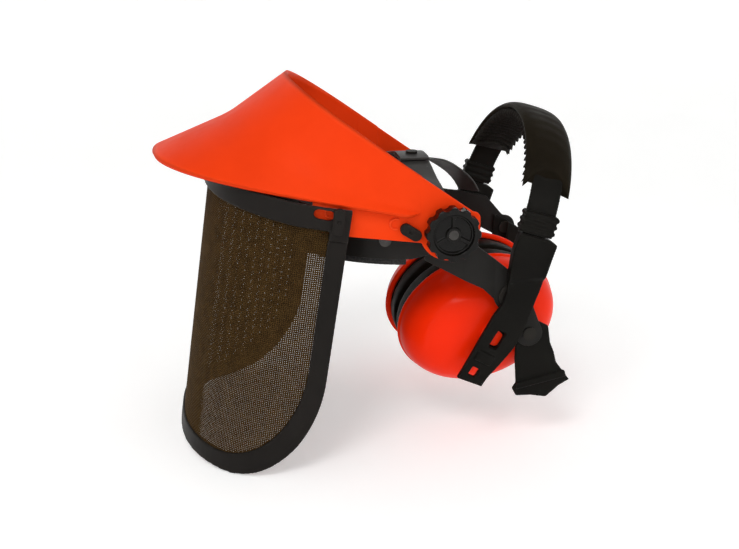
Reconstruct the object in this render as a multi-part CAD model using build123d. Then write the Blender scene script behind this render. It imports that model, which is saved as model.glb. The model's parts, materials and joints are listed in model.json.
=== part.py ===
from build123d import *
import math
import os

# Brow guard with mesh visor and ear muffs on an adjustable head harness.
# Millimetres. +Z is up, -Y is the wearer's front and +X is the wearer's left.
# The origin is the middle of the head opening, on the axis of the two side bolts.

# ---- driving dimensions -------------------------------------------------------------
HEAD_HALF_WIDTH = 80.0        # outer face of the headband at the side bolts
BAND_FRONT = 97.0             # reach of the headband in front of the bolts
BAND_TOP = 9.0
BAND_BOTTOM = -20.0
STRAP_THICK = 2.0             # moulded polyethylene straps
REAR_STRAP_X = 70.0           # outer temple strap plane behind the ears, middle of its thickness

GUARD_WALL = 2.5              # moulded brow guard wall
ARM_OUTER_X = 87.5            # outer face of the guard's flat side arms
OPENING_FRONT = 60.0          # reach of the open crown edge in front of the guard's plan centre
CREASE_FRONT = 100.0          # reach of the line where the crown turns into the peak
LIP_FRONT = 149.0             # reach of the peak's edge
GUARD_CENTRE_Y = -32.0        # plan centre of the guard's three edge curves
LUG_RADIUS = 19.0             # round ends of the guard's arms under the knobs

VISOR_HALF_WIDTH = 93.0
VISOR_DEPTH = 85.7            # front-to-back depth of the visor's curved plan
VISOR_HEIGHT = 187.0
VISOR_PITCH = -8.8            # the visor's lower edge stands forward of its top
VISOR_TOP = (0.0, -62.5, 16.4)
VISOR_PLAN_POWER = 2.4        # squareness of the visor's plan curve
TRIM_WIDTH = 12.0
VISOR_REAR = 2.0
FRAME_HEIGHT = 14.0
FRAME_THICK = 3.0
MESH_THICK = 0.6

VISOR_LATCH = (-69.2, 10.3)   # (y, z) of the turn buttons that hold the visor frame
ARM_LATCH = (-24.8, 0.6)      # (y, z) of the turn buttons on the guard's arms
LATCH_PIN_RADIUS = 2.0
RIVET_ANGLES = (-66, -40, -14, 14, 40, 66)

BOLT_RADIUS = 3.0
RUNNING_FIT = 0.06            # radial clearance of every part that turns on a pin
KNOB_RADIUS = 17.0
KNOB_LOBES = 12
KNOB_SEAT_X = 89.6
KNOB_FACE_X = 98.4

HEADBAND_STUD = (-38.6, -7.5)
NAPE_RIVET_LEFT = (59.3, -77.8)
NAPE_RIVET_RIGHT = (80.0, -44.0)
RIVET_RADIUS = 3.0
CROWN_PEAK = 27.0             # middle of the crown straps' thickness over the middle of the head
CROWN_Y = -8.0
CROWN_WIDTH = 20.0
CROWN_STUD_RADIUS = 2.0
CROWN_LAP = 2.2               # the right half of the crown strap lies this much above the left
REAR_TIE_REACH = 88.0

MUFF_TILT = 17.5              # the muff headband leans back from the vertical
MUFF_Y = 59.6                 # where the muff headband's middle plane crosses Z = 0
MUFF_HALF_WIDTH = 76.0        # middle of the spring band at its widest
MUFF_RISE = 67.5              # height of the spring band's arch
MUFF_ARCH_BASE = -8.0
BAND_WIDTH = 22.0
LEG_WIDTH = 15.0              # the band's legs narrow below the collars
SPRING_HALF = 1.5             # half of the spring band's thickness
LEG_FOOT = -26.0
HOUSING_TOP = -9.0
HOUSING_X = (72.4, 79.6)
PAD_WIDTH = 32.0
PAD_END_ANGLE = 20.0          # the padded cover stops this far above the arch's base
PAD_RIBS = 21

SWING_Y = 45.2                # axis of the two studs that carry the muffs
SWING_Z = -50.3
STUD_RADIUS = 4.0
PEG_PLACE = (36.0, -79.5)     # (y, z) of the pegs that the cups turn on
PEG_RADIUS = 5.2

CUP_Y = 34.0
CUP_Z = -80.0
CUP_LONG = 55.5               # half of the oval cup's long axis
CUP_SHORT = 41.5
CUP_TILT = 20.0               # the long axis rises this much towards the rear
CUP_RIM_X = 24.0
CUP_DEPTH = 40.0
CUP_WALL = 2.4
CUSHION_FACE_X = 0.8          # the two cushions rest almost face to face

os.makedirs("parts", exist_ok=True)
nodes = {}


# ---- helpers ------------------------------------------------------------------------
def side_plate(outline, x_low, x_high):
    """A plate parallel to the YZ plane with a polygonal outline of (y, z) corners."""
    face = make_face(Plane.YZ.offset(x_low) * Polyline(*outline, close=True))
    return extrude(face, x_high - x_low, dir=(1, 0, 0))


def rod_x(radius, x_low, x_high, y=0.0, z=0.0):
    """A cylinder along X."""
    disc = Plane.YZ.offset(x_low) * Pos(y, z) * Circle(radius)
    return extrude(disc, x_high - x_low, dir=(1, 0, 0))


def rod_z(radius, z_low, z_high, x, y):
    """A cylinder along Z."""
    return extrude(Plane.XY.offset(z_low) * Pos(x, y) * Circle(radius), z_high - z_low, dir=(0, 0, 1))


def box_between(low, high):
    size = [b - a for a, b in zip(low, high)]
    centre = [(a + b) / 2 for a, b in zip(low, high)]
    return Pos(*centre) * Box(*size)


def mirrored(shape):
    """The same piece on the wearer's right side."""
    return mirror(shape, about=Plane.YZ)


def add_pair(name, shape):
    nodes[name + "_left"] = shape
    nodes[name + "_right"] = mirrored(shape)


def superellipse(angle, half_width, reach, power, centre_y):
    """Point of a rounded plan curve; angle 0 is the front centre, 90 is the left side."""
    s = math.sin(math.radians(abs(angle)))
    c = math.cos(math.radians(abs(angle)))
    x = math.copysign(half_width * s ** (2 / power), angle)
    return x, centre_y - reach * max(c, 0.0) ** (2 / power)


def plan_curve(half_width, reach, power, centre_y, steps=12):
    """Smooth plan curve through the superellipse, from the right side to the left."""
    points = [superellipse(90 * k / steps, half_width, reach, power, centre_y) for k in range(-steps,
                                                                                              steps + 1)]
    return Spline(*points, tangents=[(0, -1), (0, 1)])


def curved_wall(half_width, reach, thickness, power, centre_y, rear, z_low, z_high):
    """Upright wall around the front plan curve, with straight ends back to y = rear."""
    inner_half = half_width - thickness
    outer = plan_curve(half_width, reach, power, centre_y)
    inner = plan_curve(inner_half, reach - thickness, power, centre_y)
    left_end = Polyline((half_width, centre_y), (half_width, rear), (inner_half, rear),
                        (inner_half, centre_y))
    ring = make_face(outer + left_end + inner + mirror(left_end, about=Plane.YZ))
    return extrude(Pos(0, 0, z_low) * ring, z_high - z_low, dir=(0, 0, 1))


def ribbon(path, thickness):
    """Flat band of even thickness along a smooth path of (x, y) points."""
    left, right = [], []
    for k, (x, y) in enumerate(path):
        x0, y0 = path[max(k - 1, 0)]
        x1, y1 = path[min(k + 1, len(path) - 1)]
        length = math.hypot(x1 - x0, y1 - y0)
        nx, ny = -(y1 - y0) / length * thickness / 2, (x1 - x0) / length * thickness / 2
        left.append((x + nx, y + ny))
        right.append((x - nx, y - ny))
    ends = Line(left[-1], right[-1]) + Line(right[0], left[0])
    return make_face(Spline(*left) + Spline(*right[::-1]) + ends)


# ---- brow guard ---------------------------------------------------------------------
def guard_section(angle, rear_shift=0.0):
    """Corners of the guard's wall at one plan angle: crown edge, crease, peak lip and back."""
    rim_x, rim_y = superellipse(angle, ARM_OUTER_X, OPENING_FRONT, 2.2, GUARD_CENTRE_Y)
    crease_x, crease_y = superellipse(angle, ARM_OUTER_X + 0.6, CREASE_FRONT, 2.2, GUARD_CENTRE_Y)
    lip_x, lip_y = superellipse(angle, 94.0, LIP_FRONT, 2.3, GUARD_CENTRE_Y)
    rim_z = 86.5 - 0.705 * (rim_y + 92.0 + rear_shift)
    crease_z = 59.5 - 0.415 * (crease_y + 132.0 + rear_shift)
    run = lip_y + 181.0 + rear_shift
    lip_z = 39.0 - 0.155 * run - 0.00012 * run * run
    rim = Vector(rim_x, rim_y + rear_shift, rim_z)
    crease = Vector(crease_x, crease_y + rear_shift, crease_z)
    lip = Vector(lip_x, lip_y + rear_shift, lip_z)
    outward = Vector(lip.X - rim.X, lip.Y - rim.Y, 0).normalized()
    up = Vector(0, 0, 1)

    def normal(a, b):
        along = (b - a)
        radial, rise = along.dot(outward), along.Z
        length = math.hypot(radial, rise)
        return (outward * (-rise) + up * radial) / length

    upper = crease + (rim - crease) * 0.16
    lower = crease + (lip - crease) * 0.20
    bend = crease + (upper - crease) * 0.30 + (lower - crease) * 0.30
    top = [rim, upper, bend, lower, lip]
    directions = [normal(rim, crease), normal(rim, crease), normal(rim, lip),
                  normal(crease, lip), normal(crease, lip)]
    under = [p - d * GUARD_WALL for p, d in zip(top, directions)]
    return Wire.make_polygon(top + under[::-1], close=True)


def brow_guard_shell():
    """Open crown, peak and the two flat arms with their round lugs, moulded in one."""
    angles = [-90 + 7.5 * k for k in range(25)]
    wires = [guard_section(-90, 14.0)] + [guard_section(a) for a in angles] + [guard_section(90, 14.0)]
    shell = Solid.make_loft(wires, ruled=False)
    rim_at_arm = 86.5 - 0.705 * (92.0 - 34.0)
    outline = [(-34, rim_at_arm), (18.5, 8.6), (18.5, 2.0), (0, -LUG_RADIUS), (-12, -7.8),
               (-60, -1.6), (-84, 3.0), (-84, 21.0), (-50, 15.5), (-34, 15.5)]
    arm = side_plate(outline, ARM_OUTER_X - GUARD_WALL, ARM_OUTER_X)
    arm += rod_x(LUG_RADIUS, ARM_OUTER_X - GUARD_WALL, ARM_OUTER_X)
    arm -= rod_x(BOLT_RADIUS + RUNNING_FIT, 80, 95)
    for y, z in (VISOR_LATCH, ARM_LATCH):
        arm -= rod_x(LATCH_PIN_RADIUS + RUNNING_FIT, 80, 95, y, z)
    return shell + arm + mirrored(arm)


def turn_latch(y, z, seat_x, turn, length):
    """Oblong turn button: a bar with rounded ends on a pin with a snap head inside."""
    bar = Plane.YZ.offset(seat_x + 0.2) * Pos(y, z) * Rot(0, 0, turn) * SlotOverall(length, 7.2)
    latch = extrude(bar, 3.0, dir=(1, 0, 0))
    latch -= rod_x(1.2, seat_x + 2.4, seat_x + 4, y, z)
    inner = ARM_OUTER_X - GUARD_WALL
    latch += rod_x(LATCH_PIN_RADIUS, inner - 1.8, seat_x + 0.3, y, z)
    latch += rod_x(LATCH_PIN_RADIUS + 1.3, inner - 2.2, inner - 0.2, y, z)
    return latch


def build_guard():
    nodes["brow_guard_shell"] = brow_guard_shell()
    add_pair("visor_latch", turn_latch(*VISOR_LATCH, VISOR_HALF_WIDTH, 84, 16.5))
    add_pair("arm_latch", turn_latch(*ARM_LATCH, ARM_OUTER_X, -33, 14.5))


# ---- visor --------------------------------------------------------------------------
def visor_wall(inset, thickness, z_low, z_high):
    """Curved wall that follows the visor's plan, inset from its outer face."""
    return curved_wall(VISOR_HALF_WIDTH - inset, VISOR_DEPTH - inset, thickness, VISOR_PLAN_POWER,
                       0.0, VISOR_REAR, z_low, z_high)


def visor_side_outline(margin, top):
    """The visor seen from the side, as a prism along X, shrunk by a margin on its free edges."""
    corner_long, corner_tall = 58.0 - margin * 0.4, 75.0 - margin * 0.4
    rear = VISOR_REAR - margin
    bottom = -VISOR_HEIGHT + margin
    front = -VISOR_DEPTH - 5.0
    arc = EllipticalCenterArc((rear - corner_long, bottom + corner_tall), corner_long, corner_tall,
                              start_angle=270, arc_size=90)
    line = Polyline((rear, bottom + corner_tall), (rear, top), (front, top),
                    (front, bottom), (rear - corner_long, bottom))
    face = make_face(Plane.YZ.offset(-VISOR_HALF_WIDTH - 3) * (arc + line))
    return extrude(face, 2 * VISOR_HALF_WIDTH + 6, dir=(1, 0, 0))


def place_visor(shape):
    return Pos(*VISOR_TOP) * Rot(VISOR_PITCH, 0, 0) * shape


def climbing_slice(low, high, climb_low, climb_high, start=-30.0):
    """Prism between two heights that climb from y = start towards the visor's front."""
    front = -95.0
    outline = [(12, low), (12, high), (start, high), (front, high + climb_high),
               (front, low + climb_low), (start, low)]
    return side_plate(outline, -110, 110)


def visor_top_frame():
    """Curved top bar, higher at the front; its ends carry the turn buttons and a long window."""
    bar = visor_wall(0, FRAME_THICK, -20, 14) & climbing_slice(-FRAME_HEIGHT, 0, 4.6, 3.5)
    ends = visor_wall(0, FRAME_THICK, -FRAME_HEIGHT - 6, 0)
    ends -= box_between((-100, -200, -60), (100, -TRIM_WIDTH + VISOR_REAR, 10))
    frame = place_visor(bar + ends)
    for side in (-1, 1):
        window = Plane.YZ.offset(side * 90 - 10) * Pos(-77.5, 14.2) * Rot(0, 0, -11) * SlotOverall(12.5,
                                                                                                   5.8)
        frame -= extrude(window, 20, dir=(1, 0, 0))
        frame -= rod_x(LATCH_PIN_RADIUS + RUNNING_FIT, side * 90 - 10, side * 90 + 10, *VISOR_LATCH)
    return frame


def visor_mesh():
    wall = visor_wall(FRAME_THICK + 0.05, MESH_THICK, -VISOR_HEIGHT, 4)
    return wall & visor_side_outline(2.5, 4) & climbing_slice(-VISOR_HEIGHT - 5, -2, -5, 4.0)


def visor_edge_trim(mesh):
    wall = visor_wall(FRAME_THICK - 1.3, 3.3, -VISOR_HEIGHT, -FRAME_HEIGHT - 6.1)
    edge = visor_side_outline(0, -FRAME_HEIGHT - 6.1) - visor_side_outline(TRIM_WIDTH, 20)
    return (wall & edge) - mesh


def visor_clamp_strip():
    """Inner strip that clamps the mesh's top edge against the frame across the front."""
    strip = visor_wall(FRAME_THICK + MESH_THICK + 0.1, 1.4, -14, 4) & climbing_slice(-12, 1.2, 4.6, 6.0)
    return strip - box_between((-100, -30, -60), (100, 30, 10))


def visor_rivets():
    """Blind plastic rivets from the clamp strip through the mesh into the top bar."""
    rivets = []
    for angle in RIVET_ANGLES:
        x, y = superellipse(angle, VISOR_HALF_WIDTH, VISOR_DEPTH, VISOR_PLAN_POWER, 0.0)
        ahead = superellipse(angle + 1, VISOR_HALF_WIDTH, VISOR_DEPTH, VISOR_PLAN_POWER, 0.0)
        behind = superellipse(angle - 1, VISOR_HALF_WIDTH, VISOR_DEPTH, VISOR_PLAN_POWER, 0.0)
        tangent = Vector(ahead[0] - behind[0], ahead[1] - behind[1], 0).normalized()
        outward = Vector(tangent.Y, -tangent.X, 0)
        plane = Plane(Vector(x, y, -8.2 - 0.057 * y), x_dir=tangent, z_dir=outward)
        shaft = extrude(plane.offset(-6.2) * Circle(1.4), 5.0, dir=outward)
        head = extrude(plane.offset(-6.4) * Circle(2.8), 1.2, dir=outward)
        rivets.append(shaft + head)
    return rivets


def build_visor():
    frame = visor_top_frame()
    mesh = visor_mesh()
    clamp = visor_clamp_strip()
    rivets = visor_rivets()
    mesh_cut, clamp_cut = mesh, clamp
    for rivet in rivets:
        mesh_cut -= rivet
        clamp_cut -= rivet
        frame -= place_visor(rivet)
    nodes["visor_top_frame"] = frame
    latch_holes = rod_x(LATCH_PIN_RADIUS + 0.6, -95, 95, *VISOR_LATCH)
    nodes["visor_mesh"] = place_visor(mesh_cut) - latch_holes
    nodes["visor_clamp_strip"] = place_visor(clamp_cut)
    nodes["visor_edge_trim"] = place_visor(visor_edge_trim(mesh))
    nodes["visor_rivets"] = Compound([place_visor(rivet) for rivet in rivets])


# ---- side knobs ---------------------------------------------------------------------


def knob():
    """Scalloped grip knob with a deep round face recess."""
    body = rod_x(KNOB_RADIUS, KNOB_SEAT_X, KNOB_FACE_X)
    for k in range(KNOB_LOBES):
        turn = 2 * math.pi * (k + 0.5) / KNOB_LOBES
        y, z = 18.6 * math.cos(turn), 18.6 * math.sin(turn)
        body -= rod_x(3.2, KNOB_SEAT_X - 1, KNOB_FACE_X + 1, y, z)
    body -= rod_x(12.6, KNOB_FACE_X - 5.0, KNOB_FACE_X + 1)
    return body - rod_x(BOLT_RADIUS + 0.02, KNOB_SEAT_X - 1, KNOB_FACE_X + 1)


def knob_spider():
    """Domed insert with three spokes around the hub, set in the knob's recess."""
    disc = rod_x(12.55, KNOB_FACE_X - 4.9, KNOB_FACE_X - 3.4)
    hub = rod_x(4.6, KNOB_FACE_X - 4.9, KNOB_FACE_X - 0.6)
    spider = disc + hub
    for k in range(3):
        spoke = box_between((KNOB_FACE_X - 4.9, 3.5, -1.1), (KNOB_FACE_X - 1.4, 12.2, 1.1))
        spider += Rot(90 + 120 * k, 0, 0) * spoke
    spider += rod_x(12.55, KNOB_FACE_X - 4.9, KNOB_FACE_X - 1.6) - rod_x(11.2, KNOB_FACE_X - 6, KNOB_FACE_X)
    return spider - rod_x(BOLT_RADIUS + 0.02, KNOB_SEAT_X - 1, KNOB_FACE_X + 1)


def pivot_bolt():
    """Coach bolt from inside the harness out through arm, washers and knob."""
    return rod_x(8.0, 70.4, 73.2) + rod_x(BOLT_RADIUS, 73.0, KNOB_FACE_X - 1.0)


def washer(radius, x_low, x_high, hole):
    return rod_x(radius, x_low, x_high) - rod_x(hole, x_low - 1, x_high + 1)


def build_knobs():
    add_pair("knob", knob())
    add_pair("knob_spider", knob_spider())
    add_pair("pivot_bolt", pivot_bolt())
    add_pair("friction_washer", washer(13.0, HEAD_HALF_WIDTH + 0.1, 84.9, BOLT_RADIUS))
    add_pair("spring_washer", washer(8.0, ARM_OUTER_X + 0.15, KNOB_SEAT_X - 0.15, BOLT_RADIUS))


# ---- head harness -------------------------------------------------------------------
def headband_wall(inset, thickness, z_low, z_high, rear):
    """Curved band wall in front of the bolts with straight ends back to y = rear."""
    return curved_wall(HEAD_HALF_WIDTH - inset, BAND_FRONT - 10 - inset, thickness, 2.1,
                       -10.0, rear, z_low, z_high)


def front_headband():
    """Band over the forehead, narrowing to a round lug at each bolt."""
    wall = headband_wall(0, STRAP_THICK, -40, 40, 20)
    outline = [(-110, BAND_BOTTOM), (-22, BAND_BOTTOM), (4, -13.4), (4, 13.4), (-22, BAND_TOP),
               (-110, BAND_TOP)]
    shape = side_plate(outline, -90, 90) + rod_x(14, -90, 90)
    band = wall & shape
    stud = headband_stud()
    return band - rod_x(BOLT_RADIUS, -90, 90) - stud - mirrored(stud)


def sweatband():
    """Padded strip inside the forehead band."""
    pad = headband_wall(STRAP_THICK + 0.2, 5.0, BAND_BOTTOM - 4.5, BAND_TOP - 3, 0)
    stud = headband_stud()
    return pad - box_between((-100, -25, -60), (100, 30, 40)) - stud - mirrored(stud)


def headband_stud():
    """Snap stud that holds the sweatband's end to the headband."""
    y, z = HEADBAND_STUD
    seat_x = 76.5
    return rod_x(2.0, seat_x - 4.0, seat_x, y, z) + rod_x(3.8, seat_x - 0.2, seat_x + 1.6, y, z)


def bent_strap(outline, holes):
    """Temple strap: straight past the bolt, stepping in behind the ear, with an outline in side view."""
    half = STRAP_THICK / 2
    front_x = HEAD_HALF_WIDTH - STRAP_THICK - half - 0.1
    path = [(front_x, -14.5), (front_x, 13), (REAR_STRAP_X, 34), (REAR_STRAP_X, 100)]
    outer = [(x + half, y) for x, y in path]
    inner = [(x - half, y) for x, y in path]
    wall = extrude(Pos(0, 0, -140) * make_face(Polyline(*outer, *inner[::-1], close=True)), 200,
                   dir=(0, 0, 1))
    shape = side_plate(outline, 50, 95)
    for y, z, radius, _ in holes:
        shape += rod_x(radius, 50, 95, y, z)
    strap = wall & shape
    for y, z, _, hole in holes:
        strap -= rod_x(hole, 50, 95, y, z)
    return strap


def temple_strap_left():
    outline = [(-13, 2), (4, 13.2), (18, -12), (45, -34), (60, -56), (68, -76), (56, -81), (38, -56),
               (26, -44), (1.5, -30), (-13.5, -21.5)]
    holes = [(0, 0, 14, BOLT_RADIUS), (SWING_Y, SWING_Z, 11, STUD_RADIUS),
             (*NAPE_RIVET_LEFT, 9, RIVET_RADIUS)]
    return bent_strap(outline, holes)


def temple_strap_right():
    outline = [(-13, 2), (4, 13.2), (30, -12), (44, -14), (65, -19), (78, -34), (88, -41), (72, -50),
               (61, -44), (48, -61), (36, -56), (26, -44), (1.5, -30), (-13.5, -21.5)]
    holes = [(0, 0, 14, BOLT_RADIUS), (SWING_Y, SWING_Z, 11, STUD_RADIUS),
             (*NAPE_RIVET_RIGHT, 9, RIVET_RADIUS)]
    return mirrored(bent_strap(outline, holes))


def nape_strap_left():
    """Adjusting tongue that hangs from its rivet, with a cross bar above its flared end."""
    outline = [(51, -86), (55, -72), (64, -69), (73, -74), (75, -86), (78, -93), (80, -100.5), (85.5, -108),
               (90, -114), (83, -118), (74, -126), (63.6, -124), (53, -123.6), (50, -118), (52.5, -114),
               (51, -97)]
    x = REAR_STRAP_X - STRAP_THICK / 2 - 0.15
    strap = side_plate(outline, x - STRAP_THICK, x)
    bar = side_plate([(52.5, -113.5), (85.5, -106), (87, -110.5), (52.5, -118)], x - 0.1, x + 2.4)
    strap += bar
    strap -= rod_x(RIVET_RADIUS + RUNNING_FIT, 50, 90, *NAPE_RIVET_LEFT)
    return strap


def nape_strap_right():
    """The other half of the nape strap, curled back on itself behind the ear."""
    outer_face, curl_radius, curl_y = 68.8, 4.2, 91.4
    centre_x = outer_face - curl_radius
    inner_face = centre_x - curl_radius
    outline = [(70.5, -33), (82, -38.5), (90, -44), (97, -50), (97, -66.5), (60, -65.5), (60, -59.5),
               (70.5, -56)]
    curl = Pos(-centre_x, curl_y,
               -60) * (Cylinder(curl_radius, 80) - Cylinder(curl_radius - STRAP_THICK, 80))
    curl &= box_between((-90, curl_y, -100), (-50, curl_y + curl_radius, -20))
    outer_leg = box_between((-outer_face, 59, -100), (STRAP_THICK - outer_face, curl_y, -20))
    inner_leg = box_between((-inner_face - STRAP_THICK, 80, -100), (-inner_face, curl_y, -20))
    strap = (curl + outer_leg + inner_leg) & side_plate(outline, -90, -30)
    strap -= rod_x(RIVET_RADIUS + RUNNING_FIT, -80, -64, *NAPE_RIVET_RIGHT)
    return strap


def nape_rivet(y, z):
    outer = REAR_STRAP_X + STRAP_THICK / 2
    inner = outer - 2 * STRAP_THICK - 0.3
    shaft = rod_x(RIVET_RADIUS, inner - 0.5, outer + 0.3, y, z)
    return shaft + rod_x(4.6, outer, outer + 1.1, y, z) + rod_x(4.6, inner - 1.4, inner - 0.15, y, z)


def crown_half_strap(lift):
    """Half of the strap over the crown, from the left bolt to just past the middle."""
    foot_x = HEAD_HALF_WIDTH - 2 * STRAP_THICK - 1.2
    path = [(foot_x, -9), (foot_x, 0), (foot_x - 0.6, 9), (foot_x - 12, 17 + lift / 2),
            (40, CROWN_PEAK - 6 + lift),
            (12, CROWN_PEAK + lift), (-13, CROWN_PEAK + lift)]
    arch = extrude(Plane.XZ.offset(-CROWN_Y - CROWN_WIDTH / 2) * ribbon(path, 1.6), CROWN_WIDTH,
                   dir=(0, -1, 0))
    arch -= rod_x(BOLT_RADIUS, 60, 90)
    return arch - Pos(0, CROWN_Y, CROWN_PEAK) * Cylinder(CROWN_STUD_RADIUS, 20)


def crown_stud():
    """Push stud that joins the three straps over the crown."""
    top, bottom = CROWN_PEAK + CROWN_LAP + 2.0, CROWN_PEAK - 2.7
    stud = rod_z(CROWN_STUD_RADIUS, bottom, top, 0, CROWN_Y)
    stud += rod_z(4.0, top, top + 1.4, 0, CROWN_Y)
    return stud + rod_z(4.0, bottom - 1.4, bottom, 0, CROWN_Y)


def rear_crown_strap():
    """Strap from the crown stud down to the right temple strap behind the ear."""
    heading = Vector(-0.75, 0.66, 0).normalized()
    across = heading.cross(Vector(0, 0, 1))
    plane = Plane(Vector(0, CROWN_Y, 0), x_dir=heading, z_dir=across)
    path = [(-8, CROWN_PEAK - 1.8), (12, CROWN_PEAK - 1.8), (32, CROWN_PEAK - 6), (55, 11), (74, 0),
            (REAR_TIE_REACH, -13)]
    strap = extrude(plane * ribbon(path, 1.4), 9, both=True)
    return strap - Pos(0, CROWN_Y, CROWN_PEAK) * Cylinder(CROWN_STUD_RADIUS, 20)


def build_harness():
    left_half, right_half = crown_half_strap(0.0), mirrored(crown_half_strap(CROWN_LAP))
    nodes["crown_strap_left"] = left_half
    nodes["crown_strap_right"] = right_half
    nodes["crown_stud"] = crown_stud()
    nodes["rear_crown_strap"] = rear_crown_strap()
    nodes["front_headband"] = front_headband()
    nodes["sweatband"] = sweatband()
    add_pair("headband_stud", headband_stud())
    nodes["temple_strap_left"] = temple_strap_left()
    nodes["temple_strap_right"] = temple_strap_right()
    nodes["nape_strap_left"] = nape_strap_left()
    nodes["nape_strap_right"] = nape_strap_right()
    nodes["nape_rivet_left"] = nape_rivet(*NAPE_RIVET_LEFT)
    nodes["nape_rivet_right"] = mirrored(nape_rivet(*NAPE_RIVET_RIGHT))


# ---- ear muffs ----------------------------------------------------------------------
def lean(shape):
    """Put a piece of the upright muff headband into its leaning place."""
    return Pos(0, MUFF_Y, 0) * Rot(-MUFF_TILT, 0, 0) * shape


def lean_point(rearward, upward):
    """(y, z) of a point given across and along the leaning headband."""
    c, s = math.cos(math.radians(MUFF_TILT)), math.sin(math.radians(MUFF_TILT))
    return MUFF_Y + rearward * c + upward * s, -rearward * s + upward * c


def arch_ring(low, high, width):
    """Band between two offsets of the spring band's middle line, above the arch's base."""
    ring = Ellipse(MUFF_HALF_WIDTH + high, MUFF_RISE + high) - Ellipse(MUFF_HALF_WIDTH + low,
                                                                       MUFF_RISE + low)
    ring -= Pos(0, -100) * Rectangle(300, 200)
    return extrude(Plane.XZ.offset(-width / 2) * Pos(0, MUFF_ARCH_BASE) * ring, width, dir=(0, -1, 0))


def pad_sector(angle):
    """Prism that keeps the part of the arch above an angle on both sides."""
    reach = 140.0
    x, z = reach * math.cos(math.radians(angle)), reach * math.sin(math.radians(angle))
    outline = Polyline((0, 0), (x, z), (x, reach), (-x, reach), (-x, z), close=True)
    return extrude(Plane.XZ.offset(-50) * Pos(0, MUFF_ARCH_BASE) * make_face(outline), 100, dir=(0, -1, 0))


def muff_spring_band():
    """Springy arch with two straight legs that slide in the arms' housings."""
    band = arch_ring(-SPRING_HALF, SPRING_HALF, BAND_WIDTH - 2)
    for side in (-1, 1):
        x = side * MUFF_HALF_WIDTH
        leg_low, leg_high = (x - SPRING_HALF, -LEG_WIDTH / 2, LEG_FOOT), (x + SPRING_HALF,
                                                                          LEG_WIDTH / 2, MUFF_ARCH_BASE)
        band += box_between(leg_low, leg_high)
    return lean(band)


def muff_band_cover():
    """Vinyl cover over the outside and the edges of the spring band."""
    cover = arch_ring(-2.6, 5.0, PAD_WIDTH) - arch_ring(-1.6, 1.6, BAND_WIDTH)
    cover = cover & pad_sector(PAD_END_ANGLE)
    return lean(cover)


def muff_band_pad():
    """Soft pad under the arch with cross ribs."""
    pad = arch_ring(-8.0, -2.7, PAD_WIDTH - 3) & pad_sector(PAD_END_ANGLE + 2)
    for k in range(PAD_RIBS):
        angle = PAD_END_ANGLE + 5 + (170 - 2 * PAD_END_ANGLE) * k / (PAD_RIBS - 1)
        groove = Rot(0, -angle, 0) * Pos(MUFF_RISE, 0, 0) * Box(30, PAD_WIDTH, 1.6)
        bottom = arch_ring(-9.0, -6.6, PAD_WIDTH)
        pad -= (Pos(0, 0, MUFF_ARCH_BASE) * groove) & bottom
    return lean(pad)


def band_collar():
    """Ribbed collar around the spring band's leg, just above the arm's housing."""
    collar = box_between((72.4, -11.0, -8.0), (79.4, 11.0, 6.0))
    for k in range(3):
        z = -6.0 + 4.5 * k
        collar += box_between((71.8, -11.8, z), (80.2, 11.8, z + 2.0))
    slot = arch_ring(-SPRING_HALF, SPRING_HALF, BAND_WIDTH - 2) + box_between(
        (MUFF_HALF_WIDTH - SPRING_HALF, -10, -20), (MUFF_HALF_WIDTH + SPRING_HALF, 10, MUFF_ARCH_BASE))
    return lean(collar - slot)


def arm_wall():
    """Front view of the arm: thick housing above, then a plate that eases inwards to the yoke."""
    top, low = HOUSING_X[1], HOUSING_X[0]
    outline = Polyline((low, 5), (top, 5), (top, -36), (77.0, -39.5), (75.2, -118), (71.6, -118),
                       (73.3, -39.5),
                       (low, -36), close=True)
    return extrude(Plane.XZ.offset(-120) * make_face(outline), 120, dir=(0, -1, 0))


def muff_arm():
    """Arm with the leg housing, the stud eye, the yoke's windows and the cup's socket."""
    outline = [lean_point(-9.8, HOUSING_TOP), lean_point(11, HOUSING_TOP),
               lean_point(16.5, HOUSING_TOP - 2),
               lean_point(16.5, -21), lean_point(17, -44), (53, -76), (47.6, -86), (38.2, -97.6), (30.7,
                                                                                                   -106.3),
               (27, -112.2), (10.5, -104.9), (23.6, -80), (33.0, -62), (38.5, -54.5), (41.2,
                                                                                       -46), (41.6, -34),
               lean_point(-9.8, -23)]
    arm = arm_wall() & side_plate(outline, 60, 95)
    slide = SPRING_HALF + 0.1
    leg_slot = box_between((MUFF_HALF_WIDTH - slide, -LEG_WIDTH / 2 - 0.2, LEG_FOOT - 1.5),
                           (MUFF_HALF_WIDTH + slide, LEG_WIDTH / 2 + 0.2, 20))
    arm -= lean(leg_slot)
    arm -= rod_x(STUD_RADIUS + RUNNING_FIT, 60, 76.0, SWING_Y, SWING_Z)
    arm += rod_x(7.2, 67.0, 73.6, *PEG_PLACE)
    arm -= rod_x(PEG_RADIUS + RUNNING_FIT, 60, 71.6, *PEG_PLACE)
    window = Plane.YZ.offset(71.5) * Pos(36.4, -79.2) * Rot(0, 0, -30) * RectangleRounded(6.0, 13.0, 1.0)
    arm -= extrude(window, 10, dir=(1, 0, 0))
    small = Plane.YZ.offset(60) * Pos(21.4, -101.0) * Rot(0, 0, -30) * RectangleRounded(5.4, 6.4, 0.8)
    arm -= extrude(small, 30, dir=(1, 0, 0))
    block = Plane.YZ.offset(75.0) * Pos(28.0, -91.0) * Rot(0, 0, -30) * RectangleRounded(12.0, 7.0, 0.8)
    return arm + extrude(block, 2.6, dir=(1, 0, 0))


def swing_stud():
    """Stud from inside the temple strap into the arm's blind eye."""
    inner = REAR_STRAP_X - STRAP_THICK / 2
    stud = rod_x(STUD_RADIUS, inner - 1, 75.8, SWING_Y, SWING_Z)
    return stud + rod_x(7.0, inner - 2.2, inner - 0.1, SWING_Y, SWING_Z)


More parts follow.
